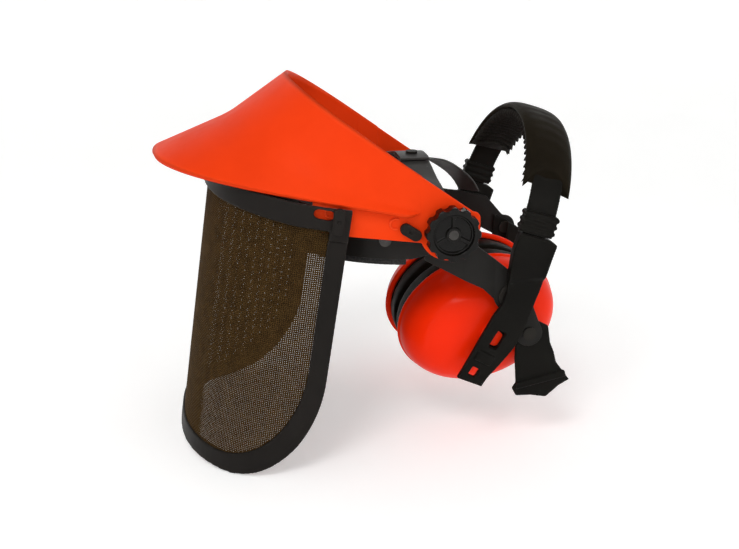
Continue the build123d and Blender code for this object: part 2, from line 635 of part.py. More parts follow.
def swing_washer():
    outer = REAR_STRAP_X + STRAP_THICK / 2
    ring = rod_x(8.0, outer + 0.05, outer + 1.5, SWING_Y, SWING_Z)
    return ring - rod_x(STUD_RADIUS, 60, 90, SWING_Y, SWING_Z)


# ---- ear cups -----------------------------------------------------------------------
def place_cup(shape):
    return Pos(0, CUP_Y, CUP_Z) * Rot(CUP_TILT, 0, 0) * shape


def oval_block(long_half, short_half, x_low, x_high):
    oval = Plane.YZ.offset(x_low) * Ellipse(long_half, short_half)
    return extrude(oval, x_high - x_low, dir=(1, 0, 0))


def dome(short_half, depth):
    """Half of a rounded oval body, flat at x = 0."""
    power, steps = 2.5, 10
    points = []
    for k in range(steps + 1):
        turn = math.radians(90 * k / steps)
        points.append((depth * math.sin(turn) ** (2 / power),
                       short_half * max(math.cos(turn), 0) ** (2 / power)))
    curve = Spline(*points, tangents=[(1, 0), (0, -1)])
    face = make_face(curve + Polyline(points[-1], (0, 0), points[0]))
    return scale(revolve(face, Axis.X), by=(1, CUP_LONG / CUP_SHORT, 1))


def cup_shell():
    shell = dome(CUP_SHORT, CUP_DEPTH) - dome(CUP_SHORT - CUP_WALL, CUP_DEPTH - CUP_WALL)
    shell = Pos(CUP_RIM_X, 0, 0) * shell
    flange = oval_block(CUP_LONG + 1.2, CUP_SHORT + 1.2, CUP_RIM_X, CUP_RIM_X + 3.0)
    flange -= oval_block(CUP_LONG - 2.0, CUP_SHORT - 2.0, CUP_RIM_X - 1, CUP_RIM_X + 4.0)
    return place_cup(shell + flange) - rod_x(PEG_RADIUS, 55, 70, *PEG_PLACE)


def cup_peg():
    """Peg in the cup's crown that turns in the arm's socket."""
    peg = rod_x(PEG_RADIUS, 58.0, 71.4, *PEG_PLACE) + rod_x(7.8, CUP_RIM_X + CUP_DEPTH, 66.7, *PEG_PLACE)
    return peg + rod_x(7.8, 58.0, 60.8, *PEG_PLACE)


def cup_back_plate():
    plate = oval_block(CUP_LONG - 2.4, CUP_SHORT - 2.4, CUP_RIM_X - 3.0, CUP_RIM_X)
    return place_cup(plate - oval_block(31, 19, 0, 60))


def cup_cushion():
    """Oval ring cushion with rounded edges."""
    ring = oval_block(CUP_LONG - 1.5, CUP_SHORT - 1.5, CUSHION_FACE_X, CUP_RIM_X - 3.0)
    ring -= oval_block(31, 19, -5, 60)
    return place_cup(fillet(ring.edges().group_by(Axis.X)[0], 5.0))


def cup_foam():
    return place_cup(oval_block(43, 29, CUP_RIM_X + 0.2, CUP_RIM_X + 14))


def build_muffs():
    nodes["muff_spring_band"] = muff_spring_band()
    nodes["muff_band_cover"] = muff_band_cover()
    nodes["muff_band_pad"] = muff_band_pad()
    add_pair("band_collar", band_collar())
    add_pair("muff_arm", muff_arm())
    add_pair("swing_stud", swing_stud())
    add_pair("swing_washer", swing_washer())
    add_pair("cup_shell", cup_shell())
    add_pair("cup_peg", cup_peg())
    add_pair("cup_back_plate", cup_back_plate())
    add_pair("cup_cushion", cup_cushion())
    add_pair("cup_foam", cup_foam())


build_guard()
build_visor()
build_knobs()
build_harness()
build_muffs()

for name, shape in nodes.items():
    export_step(shape, f"parts/{name}.step")
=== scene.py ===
import json
import math

import bmesh
import bpy
import numpy as np
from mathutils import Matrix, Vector

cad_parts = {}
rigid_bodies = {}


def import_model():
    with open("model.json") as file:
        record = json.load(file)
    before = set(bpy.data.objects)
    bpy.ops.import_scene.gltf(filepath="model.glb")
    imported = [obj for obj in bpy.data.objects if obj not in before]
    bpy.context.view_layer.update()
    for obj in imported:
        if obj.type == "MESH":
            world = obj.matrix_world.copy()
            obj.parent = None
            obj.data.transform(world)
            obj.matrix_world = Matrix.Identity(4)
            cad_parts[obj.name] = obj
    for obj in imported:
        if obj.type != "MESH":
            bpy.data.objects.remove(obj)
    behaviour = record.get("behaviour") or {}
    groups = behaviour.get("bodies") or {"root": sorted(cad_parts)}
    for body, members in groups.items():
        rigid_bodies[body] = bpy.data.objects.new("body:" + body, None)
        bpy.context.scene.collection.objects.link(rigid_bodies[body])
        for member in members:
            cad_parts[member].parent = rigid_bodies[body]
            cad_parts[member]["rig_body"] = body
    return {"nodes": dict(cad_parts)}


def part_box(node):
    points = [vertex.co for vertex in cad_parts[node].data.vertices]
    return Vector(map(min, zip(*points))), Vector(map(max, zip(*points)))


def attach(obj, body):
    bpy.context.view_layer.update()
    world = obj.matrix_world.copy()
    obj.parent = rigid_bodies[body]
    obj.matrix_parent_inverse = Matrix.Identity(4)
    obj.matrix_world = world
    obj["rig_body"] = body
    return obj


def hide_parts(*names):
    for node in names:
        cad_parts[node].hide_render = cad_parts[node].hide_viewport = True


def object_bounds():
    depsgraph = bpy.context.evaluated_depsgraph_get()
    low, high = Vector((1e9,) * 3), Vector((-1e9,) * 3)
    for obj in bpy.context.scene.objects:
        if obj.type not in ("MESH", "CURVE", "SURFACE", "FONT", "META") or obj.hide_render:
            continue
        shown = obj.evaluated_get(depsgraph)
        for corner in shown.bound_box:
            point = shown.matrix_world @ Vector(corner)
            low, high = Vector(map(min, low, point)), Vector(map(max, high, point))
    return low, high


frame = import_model()
cad_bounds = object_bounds()
MM = 0.001


# ---- materials ------------------------------------------------------------------------
def new_material(name):
    material = bpy.data.materials.new(name)
    material.use_nodes = True
    nodes, links = material.node_tree.nodes, material.node_tree.links
    shader = nodes["Principled BSDF"]
    place = nodes.new("ShaderNodeTexCoord").outputs["Object"]
    return material, nodes, links, shader, place


def noise_node(nodes, links, place, scale, detail=3.0, rough=0.6, stretch=None):
    noise = nodes.new("ShaderNodeTexNoise")
    noise.inputs["Scale"].default_value = scale
    noise.inputs["Detail"].default_value = detail
    noise.inputs["Roughness"].default_value = rough
    if stretch:
        mapping = nodes.new("ShaderNodeMapping")
        mapping.inputs["Scale"].default_value = stretch
        links.new(place, mapping.inputs["Vector"])
        place = mapping.outputs["Vector"]
    links.new(place, noise.inputs["Vector"])
    return noise.outputs["Fac"]


def colour_ramp(nodes, links, factor, stops):
    ramp = nodes.new("ShaderNodeValToRGB")
    ramp.color_ramp.elements[0].position = stops[0][0]
    ramp.color_ramp.elements[0].color = (*stops[0][1], 1)
    ramp.color_ramp.elements[1].position = stops[-1][0]
    ramp.color_ramp.elements[1].color = (*stops[-1][1], 1)
    for position, colour in stops[1:-1]:
        ramp.color_ramp.elements.new(position).color = (*colour, 1)
    links.new(factor, ramp.inputs["Fac"])
    return ramp.outputs["Color"]


def grey_range(nodes, links, factor, low, high):
    spread = nodes.new("ShaderNodeMapRange")
    spread.inputs["From Min"].default_value = 0.3
    spread.inputs["From Max"].default_value = 0.7
    spread.inputs["To Min"].default_value = low
    spread.inputs["To Max"].default_value = high
    links.new(factor, spread.inputs["Value"])
    return spread.outputs["Result"]


def add_bump(nodes, links, shader, heights):
    """Chain of bump nodes; heights is a list of (factor, distance in metres, strength)."""
    normal = None
    for factor, distance, strength in heights:
        bump = nodes.new("ShaderNodeBump")
        bump.inputs["Distance"].default_value = distance
        bump.inputs["Strength"].default_value = strength
        links.new(factor, bump.inputs["Height"])
        if normal:
            links.new(normal, bump.inputs["Normal"])
        normal = bump.outputs["Normal"]
    links.new(normal, shader.inputs["Normal"])


def plastic(name, colour, dark, rough=(0.3, 0.45), grain=900.0, grain_height=0.00004, coat=0.0, wear=None,
            specular=0.5):
    """Moulded plastic: broad tone drift, fine mould grain, scuffed gloss and pale rubbed edges."""
    material, nodes, links, shader, place = new_material(name)
    broad = noise_node(nodes, links, place, 14.0, 4.0)
    tone = colour_ramp(nodes, links, broad, [(0.3, dark), (0.7, colour)])
    if wear:
        geometry = nodes.new("ShaderNodeNewGeometry")
        edge = nodes.new("ShaderNodeMapRange")
        edge.inputs["From Min"].default_value = 0.53
        edge.inputs["From Max"].default_value = 0.62
        links.new(geometry.outputs["Pointiness"], edge.inputs["Value"])
        patchy = noise_node(nodes, links, place, 120.0, 5.0)
        amount = nodes.new("ShaderNodeMath")
        amount.operation = "MULTIPLY"
        links.new(edge.outputs["Result"], amount.inputs[0])
        links.new(patchy, amount.inputs[1])
        mix = nodes.new("ShaderNodeMix")
        mix.data_type = "RGBA"
        links.new(amount.outputs["Value"], mix.inputs["Factor"])
        links.new(tone, mix.inputs["A"])
        mix.inputs["B"].default_value = (*wear, 1)
        tone = mix.outputs["Result"]
    links.new(tone, shader.inputs["Base Color"])
    scuff = noise_node(nodes, links, place, 60.0, 6.0, 0.7)
    links.new(grey_range(nodes, links, scuff, *rough), shader.inputs["Roughness"])
    fine = noise_node(nodes, links, place, grain, 2.0)
    add_bump(nodes, links, shader, [(fine, grain_height, 0.5), (scuff, grain_height * 2, 0.15)])
    shader.inputs["Specular IOR Level"].default_value = specular
    shader.inputs["IOR"].default_value = 1.25
    if coat:
        shader.inputs["Coat Weight"].default_value = coat
        shader.inputs["Coat Roughness"].default_value = 0.09
    return material


def vinyl(name, colour, dark, rough=(0.38, 0.55), pore=650.0):
    """Soft vinyl with a leather-like pore pattern and dull rubbed areas."""
    material, nodes, links, shader, place = new_material(name)
    broad = noise_node(nodes, links, place, 22.0, 5.0)
    links.new(colour_ramp(nodes, links, broad, [(0.3, dark), (0.7, colour)]), shader.inputs["Base Color"])
    cells = nodes.new("ShaderNodeTexVoronoi")
    cells.inputs["Scale"].default_value = pore
    links.new(place, cells.inputs["Vector"])
    creases = noise_node(nodes, links, place, 90.0, 6.0, 0.65)
    links.new(grey_range(nodes, links, creases, *rough), shader.inputs["Roughness"])
    add_bump(nodes, links, shader, [(cells.outputs["Distance"], 0.00012, 0.5), (creases, 0.0004, 0.25)])
    shader.inputs["IOR"].default_value = 1.2
    shader.inputs["Specular IOR Level"].default_value = 0.1
    return material


def foam_material(name, colour, dark):
    """Open-cell foam; the colour is darkest at the pits of the cells, which is painted shade in the pores.
    """
    material, nodes, links, shader, place = new_material(name)
    cells = nodes.new("ShaderNodeTexVoronoi")
    cells.inputs["Scale"].default_value = 900.0
    links.new(place, cells.inputs["Vector"])
    # colour is darkest where the bump sinks into each cell: painted shade in the pores
    tone = colour_ramp(nodes, links, cells.outputs["Distance"], [(0.1, dark), (0.7, colour)])
    links.new(tone, shader.inputs["Base Color"])
    lumps = noise_node(nodes, links, place, 300.0, 4.0)
    links.new(grey_range(nodes, links, lumps, 0.8, 0.95), shader.inputs["Roughness"])
    add_bump(nodes, links, shader, [(cells.outputs["Distance"], 0.0005, 0.8), (lumps, 0.0004, 0.4)])
    shader.inputs["Specular IOR Level"].default_value = 0.2
    return material


def metal(name, colour, dark, rough, metallic=1.0, scale=80.0, specular=0.5):
    """Drawn or turned metal: patchy tone and fine lines along the part."""
    material, nodes, links, shader, place = new_material(name)
    broad = noise_node(nodes, links, place, scale, 4.0)
    links.new(colour_ramp(nodes, links, broad, [(0.3, dark), (0.7, colour)]), shader.inputs["Base Color"])
    lines = noise_node(nodes, links, place, 700.0, 2.0, 0.5, (1.0, 1.0, 6.0))
    links.new(grey_range(nodes, links, lines, *rough), shader.inputs["Roughness"])
    add_bump(nodes, links, shader, [(lines, 0.00002, 0.4)])
    shader.inputs["Metallic"].default_value = metallic
    shader.inputs["Specular IOR Level"].default_value = specular
    return material


ORANGE = plastic("guard_orange", (0.80, 0.046, 0.0050), (0.72, 0.038, 0.0040), (0.40, 0.52),
                 1100.0, 0.00003, wear=(0.90, 0.13, 0.04), specular=0.1)
CUP_RED = plastic("cup_orange", (0.93, 0.026, 0.0020), (0.86, 0.021, 0.0016), (0.28, 0.34),
                  500.0, 0.00001, coat=0.09, wear=(0.86, 0.07, 0.02), specular=0.1)
BLACK = plastic("black_plastic", (0.0085, 0.0078, 0.0064), (0.0050, 0.0046, 0.0039), (0.40, 0.54),
                1000.0, 0.00006, wear=(0.040, 0.036, 0.031), specular=0.16)
FRAME_BLACK = plastic("visor_black", (0.015, 0.0125, 0.0110), (0.009, 0.0078, 0.0068), (0.38, 0.52),
                      1200.0, 0.00005, wear=(0.075, 0.064, 0.057), specular=0.22)
GLOSS_BLACK = plastic("knob_plastic", (0.0050, 0.0043, 0.0036), (0.0030, 0.0026, 0.0022), (0.12, 0.22),
                      800.0, 0.00002, coat=0.22, wear=(0.030, 0.026, 0.022), specular=0.15)
STRAP_GREY = plastic("strap_grey", (0.045, 0.043, 0.041), (0.030, 0.029, 0.027), (0.36, 0.5),
                     700.0, 0.00006, wear=(0.12, 0.115, 0.11), specular=0.3)
STRAP_DARK = plastic("strap_dark", (0.018, 0.0165, 0.015), (0.010, 0.0092, 0.0082), (0.30, 0.44),
                     800.0, 0.00005, wear=(0.075, 0.070, 0.066), specular=0.28)
WIRE = metal("wire_mesh", (0.062, 0.034, 0.010), (0.038, 0.020, 0.006), (0.45, 0.60),
             0.1, 160.0, specular=0.04)
STEEL = metal("steel", (0.62, 0.61, 0.59), (0.45, 0.44, 0.42), (0.18, 0.32))
DULL_STEEL = metal("dull_steel", (0.075, 0.070, 0.066), (0.035, 0.033, 0.031), (0.30, 0.44), 0.8)
VINYL = vinyl("cover_vinyl", (0.0150, 0.0115, 0.0068), (0.0085, 0.0066, 0.0042))
CUSHION = vinyl("cushion_vinyl", (0.0085, 0.0066, 0.0044), (0.0048, 0.0038, 0.0027), (0.34, 0.5), 800.0)
PAD = foam_material("soft_pad", (0.012, 0.0098, 0.0072), (0.0035, 0.0030, 0.0024))
SWEAT = foam_material("sweat_foam", (0.035, 0.033, 0.032), (0.010, 0.010, 0.010))
FOAM = foam_material("cup_foam", (0.10, 0.10, 0.10), (0.03, 0.03, 0.03))
RUBBER = plastic("rubber", (0.012, 0.011, 0.010), (0.007, 0.0065, 0.006), (0.6, 0.75),
                 600.0, 0.0001, specular=0.2)


# ---- mesh helpers ---------------------------------------------------------------------
def new_object(name, points_mm, faces):
    mesh = bpy.data.meshes.new(name)
    mesh.from_pydata((np.asarray(points_mm, float) * MM).tolist(), [], faces)
    mesh.update()
    obj = bpy.data.objects.new(name, mesh)
    bpy.context.scene.collection.objects.link(obj)
    return obj


def shade_smooth(obj):
    obj.data.polygons.foreach_set("use_smooth", [True] * len(obj.data.polygons))
    obj.data.update()


def apply_modifiers(obj):
    graph = bpy.context.evaluated_depsgraph_get()
    done = bpy.data.meshes.new_from_object(obj.evaluated_get(graph))
    old = obj.data
    obj.modifiers.clear()
    obj.data = done
    bpy.data.meshes.remove(old)
    shade_smooth(obj)


def weld(obj, distance=0.00001):
    soup = bmesh.new()
    soup.from_mesh(obj.data)
    bmesh.ops.remove_doubles(soup, verts=soup.verts, dist=distance)
    bmesh.ops.recalc_face_normals(soup, faces=soup.faces)
    soup.to_mesh(obj.data)
    soup.free()


def place_piece(obj, body, slot, material, *nodes):
    obj.data.materials.clear()
    obj.data.materials.append(material)
    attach(obj, body)
    if nodes:
        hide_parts(*nodes)
    return obj


def remeshed_copy(node, name, voxel, rounds):
    """A copy of a CAD node with its edges rounded as a mould rounds them."""
    obj = bpy.data.objects.new(name, frame["nodes"][node].data.copy())
    bpy.context.scene.collection.objects.link(obj)
    weld(obj)
    remesh = obj.modifiers.new("remesh", "REMESH")
    remesh.mode = "VOXEL"
    remesh.voxel_size = voxel * MM
    smooth = obj.modifiers.new("smooth", "SMOOTH")
    smooth.factor = 0.5
    smooth.iterations = rounds
    apply_modifiers(obj)
    return obj


def soften(node, slot, material, voxel=0.8, rounds=4):
    obj = remeshed_copy(node, node + "_moulded", voxel, rounds)
    return place_piece(obj, frame["nodes"][node]["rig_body"], slot, material, node)


def ring_faces(count, around, closed=False):
    """Quads between consecutive rings of points."""
    faces = []
    for k in range(count if closed else count - 1):
        a, b = k * around, ((k + 1) % count) * around
        for m in range(around):
            n = (m + 1) % around
            faces.append((a + m, a + n, b + n, b + m))
    return faces


def swept(name, rings):
    """A closed skin through a run of rings, with flat ends."""
    rings = np.asarray(rings, float)
    count, around = rings.shape[:2]
    faces = ring_faces(count, around)
    faces.append(tuple(range(around))[::-1])
    faces.append(tuple((count - 1) * around + m for m in range(around)))
    obj = new_object(name, rings.reshape(-1, 3), faces)
    weld(obj)
    shade_smooth(obj)
    return obj


def joined(name, *objects):
    """One mesh from several, in the same place."""
    soup = bmesh.new()
    for obj in objects:
        soup.from_mesh(obj.data)
    mesh = bpy.data.meshes.new(name)
    soup.to_mesh(mesh)
    soup.free()
    for obj in objects:
        bpy.data.objects.remove(obj)
    result = bpy.data.objects.new(name, mesh)
    bpy.context.scene.collection.objects.link(result)
    return result


def x_plate(name, outline, x_low, x_high, bevel):
    """A plate parallel to the YZ plane with rounded edges."""
    count = len(outline)
    points = [(x_low, y, z) for y, z in outline] + [(x_high, y, z) for y, z in outline]
    faces = [tuple(range(count))[::-1], tuple(range(count, 2 * count))]
    for k in range(count):
        n = (k + 1) % count
        faces.append((k, n, count + n, count + k))
    obj = new_object(name, points, faces)
    weld(obj)
    edge = obj.modifiers.new("bevel", "BEVEL")
    edge.width = bevel * MM
    edge.segments = 3
    edge.angle_limit = math.radians(40)
    apply_modifiers(obj)
    normals = obj.modifiers.new("normals", "WEIGHTED_NORMAL")
    normals.keep_sharp = True
    apply_modifiers(obj)
    return obj


# ---- brow guard -----------------------------------------------------------------------
ARM_X = 87.5
GUARD_WALL = 2.5
GUARD_CENTRE_Y = -32.0        # plan centre of the guard's three edge curves
GUARD_END = 14.0              # the crown and peak run on this far behind that centre
LIP_TURN_IN = 4.0             # from here back the lip closes in on the crease
OPENING_FRONT, OPENING_HEIGHT, OPENING_SLOPE = 60.0, 86.5, 0.705
CREASE_FRONT, CREASE_HEIGHT, CREASE_SLOPE = 100.0, 59.5, 0.415
LIP_FRONT, LIP_HEIGHT, LIP_SLOPE, LIP_DROOP = 149.0, 39.0, 0.155, 0.00012
LIP_HALF_WIDTH = 94.0
EDGE_POWER, LIP_POWER = 2.2, 2.3
EDGE_ROLL = 0.9               # bulge of the rolled edges as a share of half the wall
RING_FRONT = (-73.1, 14.2)
RING_REAR = (-34.1, 5.8)


def superellipse(turn, half_width, reach, power, centre_y):
    s, c = abs(math.sin(turn)), max(math.cos(turn), 0.0)
    x = math.copysign(half_width * s ** (2 / power), math.sin(turn))
    return x, centre_y - reach * c ** (2 / power)


def guard_profile(turn, back):
    """Outer face of the guard at one plan angle, from the crown edge down to the peak's lip."""
    rim_x, rim_y = superellipse(turn, ARM_X, OPENING_FRONT, EDGE_POWER, GUARD_CENTRE_Y)
    crease_x, crease_y = superellipse(turn, ARM_X + 0.6, CREASE_FRONT, EDGE_POWER, GUARD_CENTRE_Y)
    lip_x, lip_y = superellipse(turn, LIP_HALF_WIDTH, LIP_FRONT, LIP_POWER, GUARD_CENTRE_Y)
    rim_y, crease_y, lip_y = rim_y + back, crease_y + back, lip_y + back
    rim_run = rim_y + OPENING_FRONT - GUARD_CENTRE_Y
    crease_run = crease_y + CREASE_FRONT - GUARD_CENTRE_Y
    lip_run = lip_y + LIP_FRONT - GUARD_CENTRE_Y
    rim = np.array([rim_x, rim_y, OPENING_HEIGHT - OPENING_SLOPE * rim_run])
    crease = np.array([crease_x, crease_y, CREASE_HEIGHT - CREASE_SLOPE * crease_run])
    lip = np.array([lip_x, lip_y, LIP_HEIGHT - LIP_SLOPE * lip_run - LIP_DROOP * lip_run ** 2])
    if back > LIP_TURN_IN:
        share = (back - LIP_TURN_IN) / (GUARD_END - LIP_TURN_IN)
        ease = 1 - math.sqrt(max(1 - share ** 2, 0.0))
        lip = lip + (crease - lip) * ease * 0.9
    tuck = (back / GUARD_END) ** 2
    for point in (rim, crease, lip):
        point[0] += (math.copysign(ARM_X - 0.1, turn) - point[0]) * tuck
    sideways = abs(turn) / (math.pi / 2)
    upper = crease + (rim - crease) * (0.10 + 0.24 * sideways)
    lower = crease + (lip - crease) * (0.14 + 0.28 * sideways)
    points = [rim + (upper - rim) * k / 10 for k in range(10)]
    for k in range(13):
        t = k / 12
        points.append(upper * (1 - t) ** 2 + crease * 2 * t * (1 - t) + lower * t * t)
    points += [lower + (lip - lower) * k / 10 for k in range(1, 11)]
    return np.array(points)


def guard_skin():
    """The crown and peak as one wall with rolled edges."""
    turns = [math.radians(-90 + 180 * k / 160) for k in range(161)]
    steps = [0.0, 2.0, 4.0, 6.0, 8.0, 9.5, 11.0, 12.2, 13.2, GUARD_END]
    rows = [guard_profile(turns[0], back) for back in steps[:0:-1]]
    rows += [guard_profile(turn, 0.0) for turn in turns]
    rows += [guard_profile(turns[-1], back) for back in steps[1:]]
    face = np.array(rows)
    along = np.gradient(face, axis=0)
    down = np.gradient(face, axis=1)
    normal = np.cross(along, down)
    normal /= np.linalg.norm(normal, axis=2, keepdims=True)
    if normal[80, 3, 1] > 0:
        normal = -normal
    down /= np.linalg.norm(down, axis=2, keepdims=True)
    middle = face - normal * GUARD_WALL / 2
    half = GUARD_WALL / 2
    loop = [face[:, k] for k in range(face.shape[1])]
    for t in (30, 60, 90, 120, 150):
        c, s = math.cos(math.radians(t)), math.sin(math.radians(t))
        loop.append(middle[:, -1] + normal[:, -1] * c * half + down[:, -1] * (s - 1) * half * EDGE_ROLL)
    loop += [face[:, k] - normal[:, k] * GUARD_WALL for k in range(face.shape[1] - 1, -1, -1)]
    for t in (150, 120, 90, 60, 30):
        c, s = math.cos(math.radians(t)), math.sin(math.radians(t))
        loop.append(middle[:, 0] + normal[:, 0] * c * half - down[:, 0] * (s - 1) * half * EDGE_ROLL)
    return swept("guard_skin", np.stack(loop, axis=1))


def arc_points(centre, radius, start, end, steps):
    turns = [math.radians(start + (end - start) * k / steps) for k in range(steps + 1)]
    return [(centre[0] + radius * math.cos(t), centre[1] + radius * math.sin(t)) for t in turns]


def guard_arm(side):
    """Flat side arm with its round lug under the knob."""
    outline = [(-34, 45.2), (14.0, 11.6)] + arc_points((14.6, 7.2), 4.2, 60, 0, 4)
    outline += arc_points((0, 0), 19.0, 6, -158, 40)
    outline += [(-60, -1.6), (-84, 3.0), (-84, 21.0), (-50, 15.5), (-34, 15.5)]
    low, high = sorted((side * (ARM_X - GUARD_WALL), side * (ARM_X - 0.04)))
    return x_plate("guard_arm", outline, low, high, 0.7)


def mould_ring(side, centre, radius, start, end):
    """Thin raised ring that the mould leaves on the arm beside a turn button."""
    rings = []
    for y, z in arc_points(centre, radius, start, end, 40):
        out_y, out_z = (y - centre[0]) / radius, (z - centre[1]) / radius
        ring = []
        for rise, spread in ((-0.2, -0.6), (0.7, -0.45), (1.0, 0.0), (0.7, 0.45), (-0.2, 0.6)):
            ring.append((side * (ARM_X + rise), y + out_y * spread, z + out_z * spread))
        rings.append(ring)
    return swept("mould_ring", rings)


arms = [guard_arm(1), guard_arm(-1)]
for side in (1, -1):
    arms.append(mould_ring(side, RING_FRONT, 3.3, 100, 330))
    arms.append(mould_ring(side, RING_REAR, 3.3, 60, 290))
guard = joined("brow_guard_moulded", guard_skin(), *arms)
place_piece(guard, "brow_guard", "guard_orange", ORANGE, "brow_guard_shell")


# ---- visor ----------------------------------------------------------------------------
VISOR_PITCH = math.radians(-8.8)
VISOR_TOP = np.array([0.0, -62.5, 16.4])
WIRE_PITCH = 1.3
WIRE_HALF_WIDTH = 0.495
WIRE_HALF_DEPTH = 0.22
WIRE_LIFT = 0.24
VISOR_HALF_WIDTH, VISOR_DEPTH, VISOR_PLAN_POWER = 93.0, 85.7, 2.4
MESH_INSET = 3.35             # from the frame's outer face to the middle of the mesh
MESH_FOOT = -184.5            # lowest height of the mesh
CORNER_FRONT, CORNER_DEPTH, CORNER_RISE = -57.5, 57.0, 74.0
WINDOW_REACH, UNDER_WINDOW = -27.0, -9.0    # the mesh stays under the frame's windows from here back
MESH_TOP, MESH_CLIMB = -2.4, 4.0 / 65.0
CLIMB_START = -30.0


def place_visor(points):
    c, s = math.cos(VISOR_PITCH), math.sin(VISOR_PITCH)
    turn = np.array([[1, 0, 0], [0, c, -s], [0, s, c]])
    return points @ turn.T + VISOR_TOP


def mesh_plan():
    """Points and outward normals of the mesh's plan curve at an even pitch."""
    turns = np.linspace(-math.pi / 2, math.pi / 2, 4001)
    curve = [superellipse(t, VISOR_HALF_WIDTH - MESH_INSET, VISOR_DEPTH - MESH_INSET, VISOR_PLAN_POWER, 0.0)
             for t in turns]
    curve = [(curve[0][0], 1.0)] + curve + [(curve[-1][0], 1.0)]
    curve = np.array(curve)
    run = np.concatenate([[0], np.cumsum(np.linalg.norm(np.diff(curve, axis=0), axis=1))])
    count = int(run[-1] / WIRE_PITCH)
    even = np.linspace(0, run[-1], count + 1)
    points = np.stack([np.interp(even, run, curve[:, 0]), np.interp(even, run, curve[:, 1])], axis=1)
    tangent = np.gradient(points, axis=0)
    tangent /= np.linalg.norm(tangent, axis=1, keepdims=True)
    normal = np.stack([tangent[:, 1], -tangent[:, 0]], axis=1)
    return points, tangent, normal


def mesh_floor(y):
    """Lowest height of the mesh at a plan point, with its rounded lower corners."""
    if y < CORNER_FRONT:
        return MESH_FOOT
    curve = math.sqrt(max(1 - ((y - CORNER_FRONT) / CORNER_DEPTH) ** 2, 0.0))
    return MESH_FOOT + CORNER_RISE * (1 - curve)


def mesh_ceiling(y):
    """Highest height of the mesh at a plan point; it climbs towards the front."""
    if y > WINDOW_REACH:
        return UNDER_WINDOW
    return MESH_TOP + MESH_CLIMB * max(CLIMB_START - y, 0.0)


def wire_weave():
    """Plain weave: every wire passes over and under the wires that cross it."""
    points, tangent, normal = mesh_plan()
    levels = np.arange(MESH_FOOT + 0.3, 2.0, WIRE_PITCH)
    floor = np.array([mesh_floor(y) for y in points[:, 1]])
    ceiling = np.array([mesh_ceiling(y) for y in points[:, 1]])
    up = np.array([0.0, 0.0, 1.0])
    verts, faces, total = [], [], 0
    place, side, out = [np.column_stack([pair, np.zeros(len(pair))]) for pair in (points, tangent, normal)]

    def add_wire(centres, across, outward):
        nonlocal total
        rings = np.stack([centres + across * WIRE_HALF_WIDTH, centres + outward * WIRE_HALF_DEPTH,
                          centres - across * WIRE_HALF_WIDTH, centres - outward * WIRE_HALF_DEPTH], axis=1)
        verts.append(rings.reshape(-1, 3))
        faces.extend(tuple(total + index for index in face) for face in ring_faces(len(centres), 4))
        total += len(centres) * 4

    for i in range(len(points)):
        rows = np.nonzero((levels >= floor[i]) & (levels <= ceiling[i]))[0]
        sign = np.where((rows + i) % 2 == 0, 1.0, -1.0)[:, None]
        centres = place[i] + levels[rows][:, None] * up + sign * WIRE_LIFT * out[i]
        add_wire(centres, np.tile(side[i], (len(rows), 1)), np.tile(out[i], (len(rows), 1)))
    for j, level in enumerate(levels):
        columns = np.nonzero((floor <= level) & (ceiling >= level))[0]
        sign = np.where((columns + j) % 2 == 0, -1.0, 1.0)[:, None]
        centres = place[columns] + level * up + sign * WIRE_LIFT * out[columns]
        add_wire(centres, np.tile(up, (len(columns), 1)), out[columns])
    obj = new_object("visor_weave", place_visor(np.concatenate(verts)), faces)
    shade_smooth(obj)
    return obj


weave = wire_weave()
place_piece(weave, "brow_guard", "wire_mesh", WIRE, "visor_mesh")
soften("visor_top_frame", "black_plastic", FRAME_BLACK, 0.7, 3)
soften("visor_edge_trim", "black_plastic", FRAME_BLACK, 0.7, 4)


# ---- the other moulded parts ----------------------------------------------------------
for side in ("left", "right"):
    soften("visor_latch_" + side, "black_plastic", FRAME_BLACK, 0.35, 4)
    soften("arm_latch_" + side, "black_plastic", FRAME_BLACK, 0.35, 4)
    soften("knob_" + side, "knob_plastic", GLOSS_BLACK, 0.45, 4)
    soften("knob_spider_" + side, "knob_plastic", GLOSS_BLACK, 0.35, 3)
    soften("temple_strap_" + side, "strap_plastic", STRAP_DARK, 0.6, 3)
    soften("nape_strap_" + side, "strap_plastic", BLACK, 0.6, 4)
    soften("crown_strap_" + side, "strap_plastic", STRAP_GREY, 0.5, 3)
    soften("muff_arm_" + side, "black_plastic", BLACK, 0.6, 4)
    soften("band_collar_" + side, "black_plastic", BLACK, 0.5, 3)
    soften("cup_shell_" + side, "cup_orange", CUP_RED, 0.8, 8)
    soften("cup_back_plate_" + side, "black_plastic", BLACK, 0.9, 3)
soften("front_headband", "strap_plastic", STRAP_DARK, 0.6, 3)
soften("rear_crown_strap", "strap_plastic", STRAP_GREY, 0.5, 3)
soften("muff_spring_band", "black_plastic", BLACK, 0.6, 3)


# ---- soft parts -----------------------------------------------------------------------
sweat = soften("sweatband", "soft_pad", SWEAT, 0.9, 10)

MUFF_Y = 59.6
MUFF_TILT = math.radians(17.5)
ARCH_HALF_WIDTH = 76.0
ARCH_RISE = 67.5
ARCH_BASE = -8.0
COVER_HALF = 16.1


def arch_frame(polar):
    """Point of the spring band's middle line at a polar angle, and the outward direction."""
    t = math.atan2(math.sin(polar) / ARCH_RISE, math.cos(polar) / ARCH_HALF_WIDTH)
    point = np.array([ARCH_HALF_WIDTH * math.cos(t), ARCH_RISE * math.sin(t) + ARCH_BASE])
    outward = np.array([math.cos(t) / ARCH_HALF_WIDTH, math.sin(t) / ARCH_RISE])
    return point, outward / np.linalg.norm(outward)


def lean(points):
    """Put points (x, across, upright) of the upright arch into its leaning place."""
    c, s = math.cos(-MUFF_TILT), math.sin(-MUFF_TILT)
    x, y, z = points[..., 0], points[..., 1], points[..., 2]
    return np.stack([x, MUFF_Y + y * c - z * s, y * s + z * c], axis=-1)


